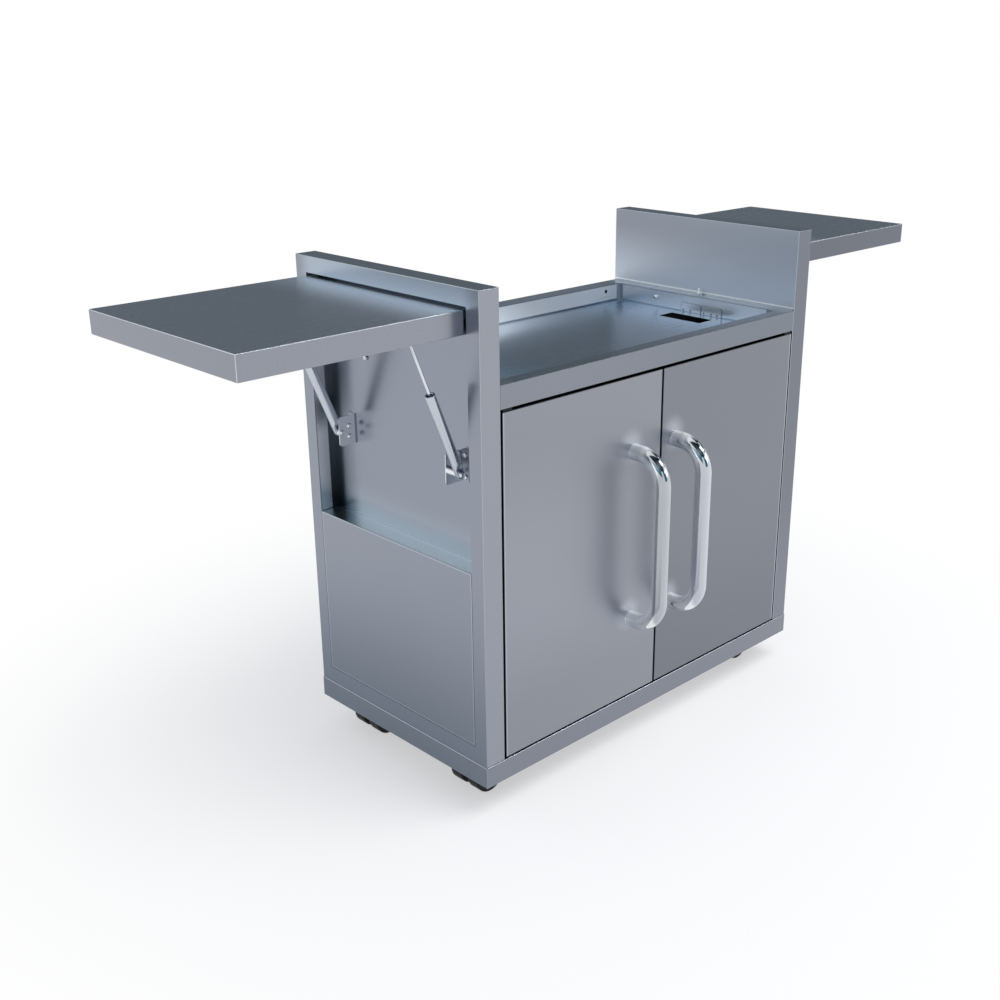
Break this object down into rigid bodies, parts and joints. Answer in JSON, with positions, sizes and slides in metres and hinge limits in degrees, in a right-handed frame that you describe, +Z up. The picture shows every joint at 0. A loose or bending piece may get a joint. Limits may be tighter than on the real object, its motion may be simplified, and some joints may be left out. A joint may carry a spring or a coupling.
{
  "type": "grill cart with storage",
  "caption": "Stainless grill cart: a tray for a drop-in grill head between raised side walls, cabinet doors with tube handles, fold-down side shelves on struts, and twin-wheel casters.",
  "frame": {"origin": "on the floor, under the middle of the cart's bounding box", "axes": "+X to the right of someone who stands in front of the doors, +Z up, the doors and handles face -Y"},
  "size_m": [1.6568, 0.551, 0.911],
  "materials": {
    "body_steel": "satin stainless sheet with fine bright folds",
    "door_steel": "satin stainless sheet",
    "shelf_steel": "satin stainless sheet",
    "tray_steel": "satin stainless sheet, slightly glossier",
    "inner_steel": "plain stainless sheet",
    "handle_chrome": "polished tube",
    "rod_chrome": "polished rod",
    "strut_steel": "bright drawn tube",
    "zinc_plated": "bright plated steel",
    "hood_plastic": "black moulded plastic",
    "wheel_plastic": "black moulded plastic",
    "catch_plastic": "dark moulded plastic"
  },
  "bodies": {
    "cart": {"base_skirt": "body_steel", "base_floor": "inner_steel", "caster_channels": "inner_steel", "caster_plates": "zinc_plated", "side_frame_left": "body_steel", "side_frame_right": "body_steel", "inner_wall_left": "body_steel", "inner_wall_right": "body_steel", "lower_panel_left": "body_steel", "lower_panel_right": "body_steel", "front_rail": "body_steel", "back_rail": "body_steel", "back_panel": "body_steel", "grill_tray": "tray_steel", "tray_cover_plates": "tray_steel", "tray_fittings": "tray_steel", "door_pivot_blocks": "zinc_plated", "magnet_catches": "catch_plastic", "strut_brackets_left": "zinc_plated", "strut_brackets_right": "zinc_plated", "recess_studs": "zinc_plated"},
    "door_left": {"door_skin_left": "door_steel", "door_liner_left": "inner_steel", "door_handle_left": "handle_chrome", "door_pins_left": "zinc_plated", "strike_plate_left": "zinc_plated"},
    "shelf_left": {"shelf_pan_left": "shelf_steel", "shelf_stiffeners_left": "inner_steel", "shelf_strut_tabs_left": "zinc_plated", "shelf_pins_left": "zinc_plated"},
    "door_right": {"door_skin_right": "door_steel", "door_liner_right": "inner_steel", "door_handle_right": "handle_chrome", "door_pins_right": "zinc_plated", "strike_plate_right": "zinc_plated"},
    "shelf_right": {"shelf_pan_right": "shelf_steel", "shelf_stiffeners_right": "inner_steel", "shelf_strut_tabs_right": "zinc_plated", "shelf_pins_right": "zinc_plated"},
    "strut_tube_front_left": {"strut_tube_front_left": "strut_steel"},
    "strut_rod_front_left": {"strut_rod_front_left": "rod_chrome"},
    "strut_tube_back_left": {"strut_tube_back_left": "strut_steel"},
    "strut_rod_back_left": {"strut_rod_back_left": "rod_chrome"},
    "strut_tube_front_right": {"strut_tube_front_right": "strut_steel"},
    "strut_rod_front_right": {"strut_rod_front_right": "rod_chrome"},
    "strut_tube_back_right": {"strut_tube_back_right": "strut_steel"},
    "strut_rod_back_right": {"strut_rod_back_right": "rod_chrome"},
    "caster_front_left": {"caster_hood_front_left": "hood_plastic"},
    "wheels_front_left": {"caster_wheels_front_left": "wheel_plastic", "caster_axle_front_left": "zinc_plated"},
    "caster_back_left": {"caster_hood_back_left": "hood_plastic"},
    "wheels_back_left": {"caster_wheels_back_left": "wheel_plastic", "caster_axle_back_left": "zinc_plated"},
    "caster_front_right": {"caster_hood_front_right": "hood_plastic"},
    "wheels_front_right": {"caster_wheels_front_right": "wheel_plastic", "caster_axle_front_right": "zinc_plated"},
    "caster_back_right": {"caster_hood_back_right": "hood_plastic"},
    "wheels_back_right": {"caster_wheels_back_right": "wheel_plastic", "caster_axle_back_right": "zinc_plated"}
  },
  "joints": [
    {"name": "door_left_hinge", "type": "hinge", "parent": "cart", "child": "door_left", "pos_m": [-0.375, -0.1855, 0.4], "axis": [0, 0, -1], "range_deg": [0, 110]},
    {"name": "shelf_left_fold", "type": "hinge", "parent": "cart", "child": "shelf_left", "pos_m": [-0.4194, 0.0405, 0.8658], "axis": [0, -1, 0], "range_deg": [0, 90]},
    {"name": "door_right_hinge", "type": "hinge", "parent": "cart", "child": "door_right", "pos_m": [0.375, -0.1855, 0.4], "axis": [0, 0, 1], "range_deg": [0, 110]},
    {"name": "shelf_right_fold", "type": "hinge", "parent": "cart", "child": "shelf_right", "pos_m": [0.4194, 0.0405, 0.8658], "axis": [0, 1, 0], "range_deg": [0, 90]},
    {"name": "strut_front_left_swing", "type": "hinge", "parent": "cart", "child": "strut_tube_front_left", "pos_m": [-0.4215, -0.13, 0.6073], "axis": [0, 1, 0], "range_deg": [0, 30.2]},
    {"name": "strut_front_left_slide", "type": "slide", "parent": "strut_tube_front_left", "child": "strut_rod_front_left", "axis": [0.3761, 0, -0.9266], "range_m": [0, 0.0968]},
    {"name": "strut_back_left_swing", "type": "hinge", "parent": "cart", "child": "strut_tube_back_left", "pos_m": [-0.4215, 0.1925, 0.6073], "axis": [0, 1, 0], "range_deg": [0, 30.2]},
    {"name": "strut_back_left_slide", "type": "slide", "parent": "strut_tube_back_left", "child": "strut_rod_back_left", "axis": [0.3761, 0, -0.9266], "range_m": [0, 0.0968]},
    {"name": "strut_front_right_swing", "type": "hinge", "parent": "cart", "child": "strut_tube_front_right", "pos_m": [0.4215, -0.13, 0.6073], "axis": [0, -1, 0], "range_deg": [0, 30.2]},
    {"name": "strut_front_right_slide", "type": "slide", "parent": "strut_tube_front_right", "child": "strut_rod_front_right", "axis": [-0.3761, 0, -0.9266], "range_m": [0, 0.0968]},
    {"name": "strut_back_right_swing", "type": "hinge", "parent": "cart", "child": "strut_tube_back_right", "pos_m": [0.4215, 0.1925, 0.6073], "axis": [0, -1, 0], "range_deg": [0, 30.2]},
    {"name": "strut_back_right_slide", "type": "slide", "parent": "strut_tube_back_right", "child": "strut_rod_back_right", "axis": [-0.3761, 0, -0.9266], "range_m": [0, 0.0968]},
    {"name": "caster_front_left_swivel", "type": "hinge", "parent": "cart", "child": "caster_front_left", "pos_m": [-0.362, -0.1015, 0.06], "axis": [0, 0, 1], "continuous": true},
    {"name": "caster_front_left_roll", "type": "hinge", "parent": "caster_front_left", "child": "wheels_front_left", "pos_m": [-0.374, -0.1015, 0.03], "axis": [0, 1, 0], "continuous": true},
    {"name": "caster_back_left_swivel", "type": "hinge", "parent": "cart", "child": "caster_back_left", "pos_m": [-0.362, 0.1825, 0.06], "axis": [0, 0, 1], "continuous": true},
    {"name": "caster_back_left_roll", "type": "hinge", "parent": "caster_back_left", "child": "wheels_back_left", "pos_m": [-0.374, 0.1825, 0.03], "axis": [0, 1, 0], "continuous": true},
    {"name": "caster_front_right_swivel", "type": "hinge", "parent": "cart", "child": "caster_front_right", "pos_m": [0.362, -0.1015, 0.06], "axis": [0, 0, 1], "continuous": true},
    {"name": "caster_front_right_roll", "type": "hinge", "parent": "caster_front_right", "child": "wheels_front_right", "pos_m": [0.35, -0.1015, 0.03], "axis": [0, 1, 0], "continuous": true},
    {"name": "caster_back_right_swivel", "type": "hinge", "parent": "cart", "child": "caster_back_right", "pos_m": [0.362, 0.1825, 0.06], "axis": [0, 0, 1], "continuous": true},
    {"name": "caster_back_right_roll", "type": "hinge", "parent": "caster_back_right", "child": "wheels_back_right", "pos_m": [0.35, 0.1825, 0.03], "axis": [0, 1, 0], "continuous": true}
  ],
  "couplings": [
    {"joint": "strut_front_left_swing", "follows": "shelf_left_fold", "ratio": 0.33305},
    {"joint": "strut_front_left_slide", "follows": "shelf_left_fold", "m_per_rad": 0.061289},
    {"joint": "strut_back_left_swing", "follows": "shelf_left_fold", "ratio": 0.33305},
    {"joint": "strut_back_left_slide", "follows": "shelf_left_fold", "m_per_rad": 0.061289},
    {"joint": "strut_front_right_swing", "follows": "shelf_right_fold", "ratio": 0.33305},
    {"joint": "strut_front_right_slide", "follows": "shelf_right_fold", "m_per_rad": 0.061289},
    {"joint": "strut_back_right_swing", "follows": "shelf_right_fold", "ratio": 0.33305},
    {"joint": "strut_back_right_slide", "follows": "shelf_right_fold", "m_per_rad": 0.061289}
  ]
}
